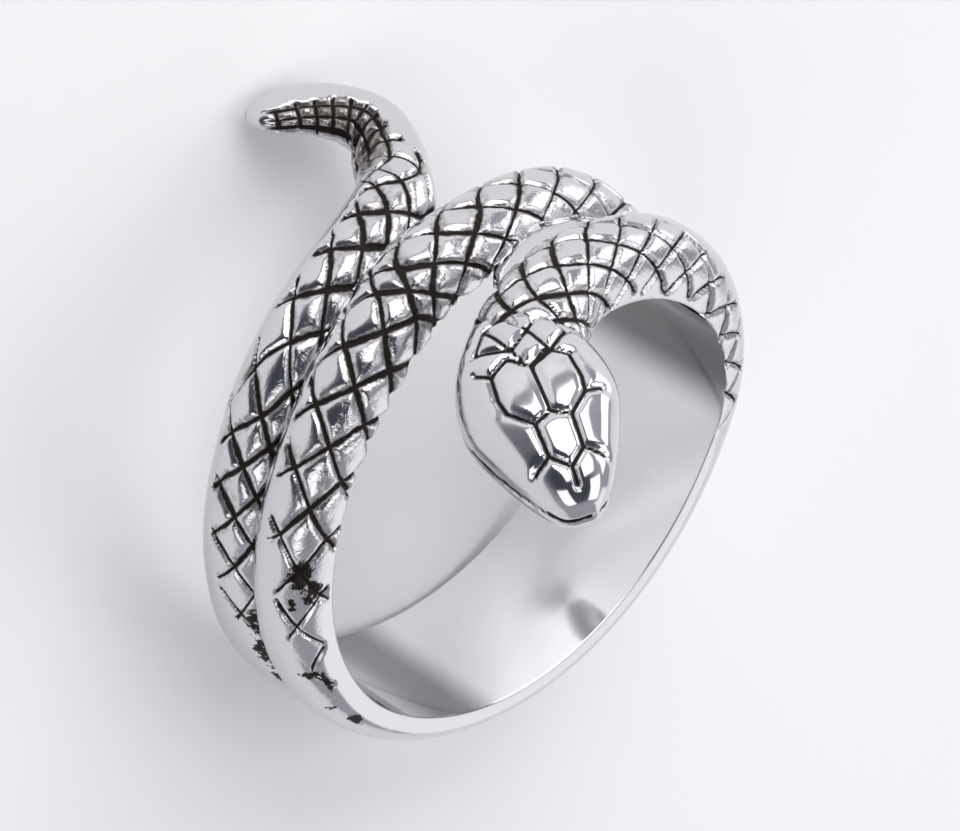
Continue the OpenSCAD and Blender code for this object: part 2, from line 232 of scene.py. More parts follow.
# The body from the tip of the tail to the neck, in three runs that overlap.
coil = {
    "backPower": 2.3,   # 2 is a round back, more is squarer
    "sideH": 0.35,      # the back starts this far above the bore
    "scaleArc": 59.2,   # degrees of the back to one width of a scale
    "underArc": 0.2,    # widths of a scale between two points of the underside
    "sideArc": 0.22,    # widths of a scale down each side
    "acrossSteps": 52,
    "fineStep": 0.083,
    "fineMargin": 0.3,
    "plainStep": 0.4,
    "leastStep": 0.02,
    "aheadReach": 0.05,  # half the stretch that gives a strand's direction
    "countStep": 0.05,
    "rowParts": 10,      # pieces of a row over which the length along the coil is measured
    "hair": 0.001,
    "leastBack": 0.1,
    "lap": 0.8,
    "lapThin": 0.012,
    "freeFrom": -0.1,   # the tail hangs free where its underside is above this
    "freeOver": 0.8,
    "weld": 0.0005,
    # the outline below the back: share of the half width and of the height, -2 is below the bore wall
    "lower": [(1, -0.35), (0.998, -0.6), (0.992, -0.8), (0.982, -0.93), (0.968, -1), (0.968, -2), (0.45, -2)],
    # turn, place along the axis, underside, crest, width, roll, share of the groove depth
    "rows": [
        (126, -12.4, 1.7, 2.1, 0.4, 0, 0),
        (124.8, -12.2, 1.6, 2.3, 1.2, 0, 0),
        (122, -11.85, 1.4, 2.45, 1.9, 0, 0.5),
        (114, -11.10, 0.9, 2.5, 2.4, 0, 0.8),
        (107.2, -9.95, 0.4, 2.4, 2.45, 0, 1),
        (107.2, -8.75, 0, 2.2, 2.4, 0, 1),
        (112.6, -7.40, -0.4, 2.0, 2.6, 0, 1),
        (120, -6.30, -0.6, 2.0, 2.9, 0, 1),
        (133, -5.50, -0.6, 2.0, 2.9, 0, 1),
        (148, -5.12, -0.6, 2.05, 2.9, 0, 1),
        (165, -4.80, -0.6, 2.05, 2.9, 0, 1),
        (182, -4.55, -0.6, 1.85, 2.9, 0, 1),
        (200, -4.40, -0.6, 1.7, 3.0, 0, 0.9),
        (216, -4.38, -0.6, 1.52, 3.1, 0, 0.6),
        (232, -4.38, -0.6, 1.5, 3.2, 0, 0.2),
        (255, -4.35, -0.6, 1.4, 3.3, 0, 0),
        (280, -4.30, -0.6, 1.38, 3.4, 0, 0),
        (310, -4.05, -0.6, 1.38, 3.4, 0, 0),
        (340, -3.75, -0.6, 1.38, 3.4, 0, 0),
        (370, -3.60, -0.6, 1.45, 3.4, 0, 0),
        (395, -3.45, -0.6, 1.7, 3.85, 0, 0.3),
        (418, -3.40, -0.6, 1.95, 3.6, 0, 0.9),
        (438, -3.55, -0.6, 2.2, 3.2, 0, 1),
        (456, -3.50, -0.6, 2.12, 3.1, 0, 1),
        (474, -3.25, -0.6, 1.86, 3.1, 0, 1),
        (492, -3.05, -0.6, 1.95, 3.1, 0, 1),
        (510, -2.55, -0.6, 1.95, 3.0, 0, 1),
        (527, -2.20, -0.6, 1.9, 2.9, 0, 1),
        (544, -2.00, -0.6, 1.85, 2.8, 0, 1),
        (562, -1.85, -0.6, 1.8, 2.8, 0, 1),
        (580, -1.75, -0.6, 1.7, 2.8, 0, 0.8),
        (596, -1.70, -0.6, 1.55, 2.9, 0, 0.3),
        (620, -1.65, -0.6, 1.4, 2.9, 0, 0),
        (650, -1.45, -0.6, 1.38, 3.0, 0, 0),
        (680, -1.20, -0.6, 1.5, 3.0, 0, 0),
        (708, -0.95, -0.6, 1.62, 3.0, 0, 0),
        (732, -0.60, -0.6, 1.66, 3.0, 0, 0.1),
        (750, -0.20, -0.6, 1.65, 3.1, 0, 0.5),
        (768, 0.15, -0.6, 1.85, 3.1, 0, 1),
        (786, 0.35, -0.6, 2.22, 3.1, 0, 1),
        (803, 0.45, -0.6, 2.35, 3.1, 0, 1),
        (819, 0.60, -0.6, 2.25, 3.1, 2, 1),
        (833, 0.90, -0.7, 2.25, 3.3, 8, 1),
        (845, 1.60, -0.8, 2.25, 3.7, 14, 1),
        (853, 2.50, -1, 2.2, 4.1, 20, 1),
        (860, 3.90, -1, 1.9, 4.0, 26, 0),
        (866, 5.20, -1, 1.6, 3.2, 28, 0),
    ],
    # first row, first and last carved row, last row, and the place along the coil
    # where two grooves cross at the middle of the pattern
    "runs": {
        "tailRun": (0, 0, 14.6, 16, 17.9),
        "middleRun": (16, 20, 31.2, 32, 75.3),
        "neckRun": (32, 36, 44.6, 45.9, 126.55),
    },
    # place along the coil, length of a scale, scales to one width step, middle of the pattern
    # across the back, lowest and highest place to which the scales reach, lean of the lattice
    "lattice": {
        "tailRun": [(0, 0.65, 0.95, 0.6, 0.35, 1.9, -1), (3, 0.65, 0.95, 0.6, 0.25, 1.75, -1),
                    (6, 0.75, 0.85, 0.5, 0.1, 1.6, -1), (7.5, 1.2, 0.85, 0, -0.9, 1.1, -0.4),
                    (9.2, 1.4, 0.95, -0.3, -1.9, 0.6, 0.3), (11.7, 1.65, 0.93, -0.45, -1.9, 0.45, 0.35),
                    (13.4, 1.9, 0.93, -0.4, -1.9, 0.45, 0.3), (15.2, 2.1, 0.93, -0.33, -1.9, 0.45, 0.25),
                    (15.6, 2.6, 0.93, -0.33, -1.9, 0.5, 0.2), (17.5, 2.6, 0.93, -0.4, -1.9, 0.7, 0),
                    (17.9, 1.75, 0.93, -0.38, -1.9, 0.7, 0), (19.7, 1.75, 0.93, -0.28, -1.9, 0.5, 0),
                    (21, 1.72, 0.95, -0.3, -1.9, 0.35, 0), (22.5, 1.95, 0.95, -0.36, -1.9, 0.3, 0),
                    (25, 2.0, 0.95, -0.38, -1.9, 0.1, 0), (27, 2.0, 0.95, -0.5, -1.9, -0.6, 0)],
        "middleRun": [(50, 1.95, 1.0, -0.05, -1.9, 1.4, 0), (71.9, 1.95, 0.95, 0, -1.9, 0.9, 0),
                      (72.2, 1.1, 0.95, 0.03, -1.9, 0.8, 0), (73.2, 1.1, 0.92, 0.06, -1.9, 0.8, 0),
                      (73.6, 2.0, 0.84, 0.07, -1.9, 0.8, 0), (75.5, 2.0, 0.74, 0.06, -1.9, 0.7, 0),
                      (77, 2.0, 0.7, 0.05, -1.9, 0.6, 0), (79.5, 2.15, 0.72, -0.04, -1.85, 0.4, 0),
                      (82, 2.25, 0.75, -0.12, -1.7, 0.1, 0), (83.5, 2.25, 0.76, -0.12, -1.6, -0.15, 0),
                      (85.2, 2.25, 0.76, -0.12, -1.55, -0.45, 0), (87, 2.25, 0.76, -0.12, -1.4, -0.8, 0),
                      (90, 2.25, 0.76, -0.12, -1.2, -1.0, 0)],
        "neckRun": [(110, 1.8, 1.2, 0.04, -1.75, -1.25, 0), (119, 1.8, 1.2, 0.04, -1.75, -1.05, 0),
                    (122, 1.8, 1.2, 0.04, -1.7, -0.8, 0), (124, 1.8, 1.2, 0.04, -1.7, -0.3, 0),
                    (126.5, 1.8, 1.2, 0.04, -1.65, 0.4, 0), (128.5, 1.8, 1.2, 0.04, -1.62, 1.2, 0),
                    (130.6, 1.8, 1.2, 0.04, -1.62, 1.6, 0), (132.4, 1.2, 1.3, 0.04, -1.62, 1.6, 0),
                    (138, 1.1, 1.3, 0.04, -1.62, 1.6, 0)],
    },
    "webTrim": 0.01,
    # the low web in the valley between the last two turns
    "webRows": [
        (368, -2.05, -0.6, 0.1, 0.4, 0, 0),
        (376, -1.90, -0.6, 0.5, 0.8, 0, 0),
        (384, -1.80, -0.6, 0.9, 1.2, 0, 0),
        (400, -1.57, -0.6, 1.1, 1.6, 0, 0),
        (420, -1.43, -0.6, 1.2, 2.0, 0, 0),
        (440, -1.53, -0.6, 1.2, 2.2, 0, 0),
        (460, -1.40, -0.6, 1.2, 2.2, 0, 0),
        (470, -1.25, -0.6, 0.95, 2.0, 0, 0),
        (476, -1.15, -0.6, 0.5, 1.5, 0, 0),
        (481, -1.05, -0.6, 0.1, 0.5, 0, 0),
    ],
}


def radial(turn):
    return Vector((math.cos(math.radians(turn)), math.sin(math.radians(turn)), 0))


def placeOf(row):
    return (ring["boreR"] + ring["midH"]) * radial(row[0]) + Vector((0, 0, row[1]))


# A strand measured along its own line, in a few parts to a row.
class Strand:
    def __init__(self, rows):
        self.rows = rows
        self.parts = coil["rowParts"]
        places = [placeOf(between(rows, i / self.parts)) for i in range(self.parts * (len(rows) - 1) + 1)]
        self.lengths = [0.0]
        for a, b in zip(places, places[1:]):
            self.lengths.append(self.lengths[-1] + (b - a).length)

    def travelTo(self, row):
        i = min(int(row * self.parts), len(self.lengths) - 2)
        return self.lengths[i] + (row * self.parts - i) * (self.lengths[i + 1] - self.lengths[i])

    def rowAt(self, s):
        s = max(0.0, min(self.lengths[-1] - coil["hair"], s))
        i = bisect.bisect_right(self.lengths, s) - 1
        part = (s - self.lengths[i]) / (self.lengths[i + 1] - self.lengths[i])
        return between(self.rows, (i + part) / self.parts)


# A table read in straight lines between its rows. Its first column is the place along the coil.
def stepped(table, s):
    if s <= table[0][0]:
        return table[0][1:]
    for a, b in zip(table, table[1:]):
        if s <= b[0]:
            f = (s - a[0]) / (b[0] - a[0])
            return [p + f * (q - p) for p, q in zip(a[1:], b[1:])]
    return table[-1][1:]


# Scales counted along the coil, where their length changes on the way.
# The second family of grooves counts fewer where the lattice leans back.
def scaleCount(table, start, end, second=False):
    steps = max(1, int(abs(end - start) / coil["countStep"]))
    width = (end - start) / steps
    count = 0.0
    for n in range(steps):
        row = stepped(table, start + (n + 0.5) * width)
        count += width / row[0] * (1 + min(0, row[5]) if second else 1)
    return count


spineColumns = ("lat", "top", "half", "crest", "low", "wall", "under", "swell", "free", "phase", "phaseB",
                "along", "carve", "fromV", "toV", "scaleL", "fineV", "midV", "skew")


def spineObject(name, places, values):
    columns = {title: [row[n] for row in values] for n, title in enumerate(spineColumns)}
    return pointObject(name, places, columns)


# Points along a strand: fine where it is carved, wide apart where it is plain.
def strandSpine(name, strand, first, fineFrom, fineTo, last, crossing, table):
    stops = [first]
    while stops[-1] < last - coil["hair"]:
        s = stops[-1]
        fine = fineFrom - coil["fineMargin"] <= s <= fineTo + coil["fineMargin"]
        step = coil["fineStep"] * 1 if fine else coil["plainStep"]
        stops.append(min(last, s + step))
    if stops[-1] - stops[-2] < coil["leastStep"]:
        stops.pop(-2)
    stops = [first] + stops + [last]  # the doubled ends shrink to one point each
    places, values = [], []
    count, countB = (scaleCount(table, crossing, first, second) for second in (False, True))
    reach = coil["aheadReach"]
    for n, s in enumerate(stops):
        row = strand.rowAt(s)
        out = radial(row[0])
        ahead = (placeOf(strand.rowAt(s + reach)) - placeOf(strand.rowAt(s - reach))).normalized()
        across = ahead.cross(out).normalized()
        up = across.cross(ahead)
        roll = math.radians(row[5])
        # runs overlap, each a hair thinner at its end, so that their skins cross cleanly
        thin = coil["lapThin"] * max(0, 1 - (s - first) / coil["lap"], 1 - (last - s) / coil["lap"])
        under, crest = row[2] - ring["midH"], row[3] - ring["midH"] - thin
        wall = max(0, row[2]) - ring["midH"]
        free = max(0.0, min(1.0, (row[2] - coil["freeFrom"]) / coil["freeOver"]))
        free = free if name == "tailRun" else 0.0
        low = wall + min(coil["sideH"], crest - wall - coil["leastBack"])
        low += free * ((crest + under) / 2 - low)
        scaleL, fineV, midV, lowV, highV, skew = stepped(table, s)
        if n > 1:
            count += scaleCount(table, stops[n - 1], s)
            countB += scaleCount(table, stops[n - 1], s, True)
        places.append(placeOf(row))
        swell = float(0 < n < len(stops) - 1)
        values.append((
            math.cos(roll) * across + math.sin(roll) * up, math.cos(roll) * up - math.sin(roll) * across,
            row[4] / 2 - thin, crest, low, wall, under, swell, free,
            count, countB, s, row[6], lowV, highV, scaleL, fineV, midV, skew))
    return spineObject(name, places, values)


def runSpine(name, strand):
    first, carveFrom, carveTo, last, crossing = coil["runs"][name]
    stops = [strand.travelTo(row) for row in (first, carveFrom, carveTo, last)]
    stops[0] = max(0, stops[0] - coil["lap"] / 2)
    stops[3] += coil["lap"] / 2
    return strandSpine(name, strand, *stops, crossing, coil["lattice"][name])


def webSpine():  # plain, and of no pattern
    strand = Strand(coil["webRows"])
    end = strand.lengths[-1] - coil["webTrim"]
    beyond = end + 1
    return strandSpine("webRun", strand, 0.0, beyond, beyond, end, 0.0, [(0, 1.0, 1.0, 0, 0, 0, 0)])


# The back of a section, from one side over the crest to the other: x, y and the angle.
def backPoints(power, steps):
    for n in range(steps + 1):
        q = math.radians(-90 + 180 * n / steps)
        yield math.copysign(abs(math.sin(q)) ** (2 / power), q), max(0, math.cos(q)) ** (2 / power), q


profileColumns = ("px", "py", "fx", "fy", "v", "fv")


def profileObject(name, points):
    columns = {title: [p[n] for p in points] for n, title in enumerate(profileColumns)}
    return pointObject(name, [(0, 0, 0)] * len(points), columns)


# The outline of a section: x from -1 to 1 over half the width, y up to 1 at the crest, down to -1
# at the underside and -2 below the bore wall, and the same for a strand that hangs free.
def coilProfile():
    points = []
    for x, y, q in backPoints(coil["backPower"], coil["acrossSteps"] // (1)):
        v = math.degrees(q) / coil["scaleArc"]
        points.append((x, y, x, y, v, v))
    edge = points[-1][4]
    lower = []
    for n, (x, y) in enumerate(coil["lower"]):
        q = math.radians(90 * (n + 1) / (len(coil["lower"]) + 1))
        v, freeV = edge - coil["sideArc"] * max(-1, y), edge + n * coil["underArc"]
        lower.append((x, y, math.cos(q), -math.sin(q), v, freeV))
    points += lower + [(0, -2, 0, -1, edge + 2 * coil["underArc"], edge * 2)]
    points += [(-x, y, -fx, fy, -v, -fv) for x, y, fx, fy, v, fv in reversed(lower)]
    return profileObject("coilProfile", points)


# Skins a spine with a profile. Both are loose points, and every number on them is an attribute.
def skinTree():
    net, spine, given = geometryTree("skin", {"Profile": "object"})
    outline = net.add("GeometryNodeObjectInfo", {}, {"Object": given["Profile"]}, "Geometry")

    def count(mesh):
        return net.add("GeometryNodeAttributeDomainSize", {"component": "MESH"}, {0: mesh})

    rows, steps = count(spine), count(outline)
    grid = net.add("GeometryNodeMeshGrid", {}, {"Vertices X": rows, "Vertices Y": steps + 1.0})
    index = net.add("GeometryNodeInputIndex")
    line = (index / (steps + 1.0)).whole()
    step = index.work("MODULO", index - line * (steps + 1.0), steps)

    def sample(mesh, name, at, kind="FLOAT"):
        value = net.add("GeometryNodeInputPosition") if name == "place" else net.attribute(name, kind)
        return net.add("GeometryNodeSampleIndex", {"data_type": kind, "domain": "POINT"},
                       {"Geometry": mesh, "Value": value, "Index": at})

    def ofRow(name, kind="FLOAT"):
        return sample(spine, name, line, kind)

    def ofStep(name):
        return sample(outline, name, step)

    free = ofRow("free")
    x = ofStep("px") + free * (ofStep("fx") - ofStep("px"))
    y = ofStep("py") + free * (ofStep("fy") - ofStep("py"))
    low, wall, crest, under = ofRow("low"), ofRow("wall"), ofRow("crest"), ofRow("under")
    height = low + y.most(0.0) * (crest - low)
    height = height + y.least(0.0).most(-1.0) * (low - wall) + (y + 1.0).least(0.0) * (wall - under)
    middle = (crest + under) * 0.5
    swell = ofRow("swell")
    place = ofRow("place", "FLOAT_VECTOR")
    place = place + ofRow("lat", "FLOAT_VECTOR").times(x * ofRow("half") * swell)
    place = place + ofRow("top", "FLOAT_VECTOR").times(middle + (height - middle) * swell)
    skin = net.add("GeometryNodeSetPosition", {}, {"Geometry": grid, "Position": place})
    for name in ("phase", "phaseB", "along", "carve", "fromV", "toV", "scaleL", "fineV", "midV", "skew"):
        skin = net.keep(skin, name, ofRow(name))
    skin = net.keep(skin, "v", ofStep("v") + free * (ofStep("fv") - ofStep("v")))
    skin = net.keep(skin, "side", x * ofRow("half"))
    skin = net.keep(skin, "fall", height)
    skin = net.add("GeometryNodeMergeByDistance", {}, {"Geometry": skin, "Distance": coil["weld"]})
    skin = net.add("GeometryNodeFlipFaces", {}, {"Mesh": skin})
    endTree(net, skin)
    return net.tree


# Presses the diamond lattice into a skin and leaves its numbers there for the material.
scaleRelief = {
    "Depth": 0.16,
    "Width": 0.085,
    "Dome": 0.045,
    "Tilt": 0.1,
    "Wobble": 0.14,
    "Unevenness": 0.6,
    "Seed": 4.0,
    "Hammer": 0.09,
    "Boldness": 0.9,
}


# How the lattice changes over the ring. Along is in mm, across in widths of a scale.
# A noise is its cells to a mm, its detail and its roughness.
# A row of four is an eased step: from, to, first value, last value.
scaleSpread = {
    "lineGap": 0.62,          # lengths of a scale from one groove to the next, measured square to them
    "driftNoise": (0.55, 1.0),
    "raggedNoise": (2.2, 2.0),
    "ragged": (0.45, 1.1),    # a groove's least share of its width, and what the noise adds
    "boldAlong": ((8.0, 11.0, 21.0, 25.0), (65.0, 70.0, 79.0, 83.0)),  # down the middle of the outer turns
    "boldAcross": (-0.2, 0.3, 1.0, 0.25),
    "boldNeck": (126.0, 129.0, 0.0, 0.6),
    "boldLeast": 0.85,
    "edgeNoise": (1.4, 1.0),
    "edgeWander": 0.5,
    "edgeEase": 0.12,
    "carveEase": (0.15, 0.75),
    "cushionReach": 0.5,
    "flatTail": ((20.0, 25.0, 1.0, 0.3), (40.0, 50.0)),
    "flatMiddle": ((79.0, 83.0, 1.0, 0.15), (95.0, 100.0)),
    "castAcross": (-0.9, -0.1, 1.0, 0.0),  # the lower edge is left rough from the casting
    "castAlong": (100.0, 108.0, 1.0, 0.0),
    "softNoise": (1.1, 2.0),
    "softHammer": 0.03,
    "hammerNoise": (2.6, 2.0),
}


def scaleTree():
    net, skin, given = geometryTree("scales", {name: "number" for name in scaleRelief})
    spread = scaleSpread
    place = net.add("GeometryNodeInputPosition")
    drift = net.noise(place, *spread["driftNoise"], out=1) - (0.5, 0.5, 0.5)
    phase, v = net.attribute("phase"), net.attribute("v")
    fineV = (v - net.attribute("midV")) * net.attribute("fineV")
    latA = phase + fineV * (1.0 + net.attribute("skew")) + drift.part("X") * given["Wobble"]
    latB = net.attribute("phaseB") - fineV * (1.0 - net.attribute("skew")) + drift.part("Y") * given["Wobble"]

    def random(x, y, out=0):
        return net.add("ShaderNodeTexWhiteNoise", {"noise_dimensions": "3D"},
                       {"Vector": net.joined(x, y, given["Seed"])}, out)

    # each piece of groove between two crossings has its own width
    lineA = (latA + 0.5).whole()
    lineB = (latB + 0.5).whole()
    ragged = net.noise(place, *spread["raggedNoise"]) * spread["ragged"][1] + spread["ragged"][0]
    s = net.attribute("along")
    first, second = (s.hill(*places) for places in spread["boldAlong"])
    bold = (first.most(second) * v.ramp(*spread["boldAcross"])).most(s.ramp(*spread["boldNeck"]))
    bold = bold * given["Boldness"] + spread["boldLeast"]
    evenShare = 1.0 - given["Unevenness"] * 0.5
    wideA = (random(lineA, latB.whole()) * given["Unevenness"] + evenShare) * ragged * bold
    wideB = (random(latA.whole(), lineB) * given["Unevenness"] + evenShare) * ragged * bold
    toMm = net.attribute("scaleL") * spread["lineGap"]
    gapA, gapB = latA.toLine() * toMm, latB.toLine() * toMm
    gap = (gapA / wideA).least(gapB / wideB)
    groove = (gap / given["Width"]).bell()

    # the scales fade out towards the plain margins, each groove at its own place
    edge = (net.noise(place, *spread["edgeNoise"]) - 0.5) * spread["edgeWander"]
    fromV, toV = net.attribute("fromV"), net.attribute("toV")
    carve = net.attribute("carve") * (v + edge).ramp(fromV, fromV + spread["edgeEase"])
    carve = carve * (v + edge).ramp(toV - spread["edgeEase"], toV, 1.0, 0.0)
    carve = carve.ramp(*spread["carveEase"])

    # each scale is a little cushion with a lean of its own
    lean = random(latA.whole(), latB.whole(), 1) - (0.5, 0.5, 0.5)
    slope = lean.part("X") * (latA.rest() - 0.5) + lean.part("Y") * (latB.rest() - 0.5)
    cushion = (gap / spread["cushionReach"]).least(1.0)
    flatTail, flatMiddle = (s.ramp(*spread[n][0]).most(s.ramp(*spread[n][1])) for n in ("flatTail", "flatMiddle"))
    flat = flatTail * flatMiddle
    lift = ((cushion * (2.0 - cushion) - 1.0) * given["Dome"] + slope * given["Tilt"] * cushion) * flat
    lift = lift - given["Depth"] * groove
    cast = v.ramp(*spread["castAcross"]) * s.ramp(*spread["castAlong"])
    soft, hammer = (net.noise(place, *spread[n]) - 0.5 for n in ("softNoise", "hammerNoise"))
    lift = lift + (soft * spread["softHammer"] + hammer * given["Hammer"] * cast) * flat
    normal = net.add("GeometryNodeInputNormal")
    skin = net.add("GeometryNodeSetPosition", {}, {"Geometry": skin, "Offset": normal.times(lift * carve)})
    for name, value in (("latA", latA), ("latB", latB), ("carved", carve), ("wideA", wideA), ("wideB", wideB),
                        ("plateNear", 0.0), ("mouth", 0.0)):
        skin = net.keep(skin, name, value)
    endTree(net, skin)
    return net.tree


# The head, in millimetres from its own middle, towards the snout and to the side.
head = {
    "turn": 144.5,
    "axial": 4.85,
    "heading": 62,
    "roll": 15,
    "backPower": 2.6,
    "topSteps": 84,
    "step": 0.08,
    "jawLow": -0.2,  # the sides turn under at this height, or just above the underside
    "jawLift": 0.1,
    # distance towards the snout, half width, underside and crest
    "rows": [
        (-3.9, 1.3, -1, 0.85),
        (-3.2, 1.75, -1.2, 1.25),
        (-2.6, 2.1, -1.6, 1.5),
        (-1.8, 2.45, -2, 1.62),
        (-0.8, 2.65, -2, 1.65),
        (0.2, 2.6, -2, 1.65),
        (1.4, 2.15, -2, 1.5),
        (2.6, 1.6, -1.8, 1.25),
        (3.5, 1.1, -1.4, 0.9),
        (4, 0.6, -0.9, 0.4),
        (4.1, 0.2, -0.3, 0.1),
    ],
    # the outline below the widest line: share of the half width and of the depth
    "lower": [
        (0.998, -0.1), (0.99, -0.2), (0.975, -0.3), (0.955, -0.4), (0.93, -0.5), (0.89, -0.6),
        (0.84, -0.7), (0.78, -0.8), (0.71, -0.88), (0.62, -0.95), (0.5, -0.985), (0.35, -1), (0.18, -1),
    ],
    # corners of the plates: distance towards the snout and to the side
    "corners": [
        (-0.95, 0), (0.95, 0), (-1.55, 0.65), (-1.1, 1.4), (-0.1, 1.5), (0.5, 1.4), (0.5, 1.9), (1.25, 0.65),
        (2.5, 0.62), (3.05, 0), (2.8, 1.25), (3.65, 0),
    ],
    # each groove between plates joins two corners
    "grooves": [(0, 1), (0, 2), (2, 3), (3, 4), (4, 5), (5, 7), (7, 1), (7, 8), (8, 9), (8, 10), (9, 11)],
    # the raised rim outside the brow plates
    "rims": [(6, 10)],
    # corners and grooves that differ between the sides: the neck's first scales and two short cuts
    "ownCorners": [
        (-0.95, 0), (-1.86, 0.41), (-1.45, -0.85), (-2.62, -0.4), (-2.3, -1.68), (-3.4, 0.95), (-3.7, -0.02),
        (-3.8, -1.3), (-1.1, 1.4), (-1.5, 1.85), (0.5, -1.4), (0.42, -2), (-2.3, 1.6),
    ],
    "ownGrooves": [(0, 1), (0, 2), (1, 3), (2, 3), (1, 5), (2, 4), (3, 6), (3, 7), (8, 9), (10, 11), (1, 12),
                   (5, 6), (4, 7), (5, 12)],
}

plateRelief = {
    "Depth": 0.17,
    "Width": 0.1,
    "Dome": 0.07,
    "Cushion": 0.45,
    "Rim": 0.04,
    "Rim width": 0.22,
    "Mouth": 0.14,
    "Mouth drop": 0.5,
    "Mouth width": 0.11,
}

# Where the plates and the mouth begin and end, in the head's own measure.
plateSpread = {
    "above": (-0.05, 0.1),        # plates are cut above this height only
    "offHead": 3.0,               # counts as this far from any groove below it
    "raggedNoise": (2.5, 2.0),
    "ragged": (0.75, 0.5),
    "mouthNoise": (1.2, 2.0),
    "mouthWander": 0.3,
    "mouthAlong": (-1.9, -1.2),
    "mouthBreakNoise": (2.2, 1.0),
    "mouthBreaks": (0.3, 0.5),
}

# The attribute plateNear holds this less the distance to a groove, so that it is 0 off the head.
plateFar = 5.0


def headSpine():
    turn, heading, roll = (math.radians(head[n]) for n in ("turn", "heading", "roll"))
    out = radial(head["turn"])
    ahead = math.cos(heading) * Vector((-math.sin(turn), math.cos(turn), 0))
    ahead += math.sin(heading) * Vector((0, 0, 1))
    across = out.cross(ahead)
    left = math.sin(roll) * out - math.cos(roll) * across
    up = math.cos(roll) * out + math.sin(roll) * across
    base = (ring["boreR"] + ring["midH"]) * out + Vector((0, 0, head["axial"]))
    rows = head["rows"]
    count = int((rows[-1][0] - rows[0][0]) / head["step"] / (1))
    stops = [(len(rows) - 1) * n / count for n in range(count + 1)]
    stops = [0.0] + stops + [float(len(rows) - 1)]
    places, values = [], []
    for n, stop in enumerate(stops):
        fore, half, floor, dome = between(rows, stop)
        low = max(head["jawLow"], floor + head["jawLift"])
        swell = float(0 < n < len(stops) - 1)
        places.append(base + fore * ahead)
        values.append((left, up, half, dome, low, floor, floor, swell, 0.0,
                       fore, 0.0, 0.0, 0.0, 0.0, 0.0, 1.0, 1.0, 0.0, 0.0))
    return spineObject("headSpine", places, values)


def headProfile():
    points = [(x, y) for x, y, _ in backPoints(head["backPower"], head["topSteps"] // (1))]
    points += head["lower"] + [(0, -1)] + [(-x, y) for x, y in reversed(head["lower"])]
    return profileObject("headProfile", [(x, y, x, y, x, x) for x, y in points])


# The lines between the plates, flat, in the head's own measure.
def lineObject(name, corners, pairs):
    return pointObject(name, [(x, y, 0) for x, y in corners], {}, pairs)


def plateTree():
    kinds = {name: "number" for name in plateRelief}
    kinds.update({"Grooves": "object", "Rims": "object", "Own grooves": "object"})
    net, skin, given = geometryTree("plates", kinds)
    spread = plateSpread
    place = net.add("GeometryNodeInputPosition")
    fore, side, fall = net.attribute("phase"), net.attribute("side"), net.attribute("fall")
    bothSides, oneSide = net.joined(fore, side.size(), 0.0), net.joined(fore, side, 0.0)

    def toLines(name, flat):
        lines = net.add("GeometryNodeObjectInfo", {}, {"Object": given[name]}, "Geometry")
        return net.add("GeometryNodeProximity", {"target_element": "EDGES"},
                       {0: lines, "Sample Position": flat}, "Distance")

    above = fall.ramp(*spread["above"])
    gap = toLines("Grooves", bothSides).least(toLines("Own grooves", oneSide))
    gap = gap + (1.0 - above) * spread["offHead"]
    ragged = net.noise(place, *spread["raggedNoise"]) * spread["ragged"][1] + spread["ragged"][0]
    groove = (gap / (given["Width"] * ragged)).bell()
    cushion = (gap / given["Cushion"]).least(1.0)
    rim = (toLines("Rims", bothSides) / given["Rim width"]).bell()
    # the mouth is a ragged line low on the side
    wander = (net.noise(place, *spread["mouthNoise"]) - 0.5) * spread["mouthWander"]
    mouth = ((fall + given["Mouth drop"] + wander) / given["Mouth width"]).bell()
    mouth = mouth * fore.ramp(*spread["mouthAlong"])
    mouth = mouth * net.noise(place, *spread["mouthBreakNoise"]).ramp(*spread["mouthBreaks"])
    lift = (cushion * (2.0 - cushion) - 1.0) * given["Dome"] * above - given["Depth"] * groove
    lift = lift + rim * given["Rim"] * above - mouth * given["Mouth"]
    normal = net.add("GeometryNodeInputNormal")
    skin = net.add("GeometryNodeSetPosition", {}, {"Geometry": skin, "Offset": normal.times(lift)})
    for name, value in (("plateNear", plateFar - gap), ("mouth", mouth), ("latA", 0.5), ("latB", 0.5),
                        ("carved", 0.0), ("wideA", 1.0), ("wideB", 1.0)):
        skin = net.keep(skin, name, value)
    endTree(net, skin)
    return net.tree


